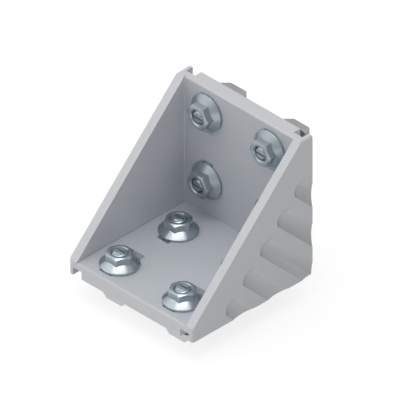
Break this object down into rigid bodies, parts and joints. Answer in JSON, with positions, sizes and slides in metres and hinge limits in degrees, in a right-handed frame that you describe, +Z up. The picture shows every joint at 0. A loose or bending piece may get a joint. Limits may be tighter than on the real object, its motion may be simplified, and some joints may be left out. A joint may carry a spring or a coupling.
{
  "type": "t-slot corner bracket",
  "caption": "Right-angle corner bracket with two cheeks and slotted plates, held in T-groove profile by hammer-head T-bolts and flange nuts.",
  "frame": {"origin": "middle of the base plate's contact face", "axes": "+X across the bracket to the right, +Y from the free end of the base towards the back contact face, +Z up; the bracket is a mirror image of itself about X = 0"},
  "size_m": [0.0884, 0.0997, 0.0983],
  "materials": {
    "casting": "satin",
    "t_bolt": "zinc plated",
    "flange_nut": "bright zinc plated"
  },
  "bodies": {
    "root": {"bracket": "casting", "t_bolt_base_front_left": "t_bolt", "t_bolt_base_front_right": "t_bolt", "t_bolt_base_rear_left": "t_bolt", "t_bolt_base_rear_right": "t_bolt", "t_bolt_upright_upper_left": "t_bolt", "t_bolt_upright_upper_right": "t_bolt", "t_bolt_upright_lower_left": "t_bolt", "t_bolt_upright_lower_right": "t_bolt", "flange_nut_base_front_left": "flange_nut", "flange_nut_base_front_right": "flange_nut", "flange_nut_base_rear_left": "flange_nut", "flange_nut_base_rear_right": "flange_nut", "flange_nut_upright_upper_left": "flange_nut", "flange_nut_upright_upper_right": "flange_nut", "flange_nut_upright_lower_left": "flange_nut", "flange_nut_upright_lower_right": "flange_nut"}
  },
  "joints": []
}
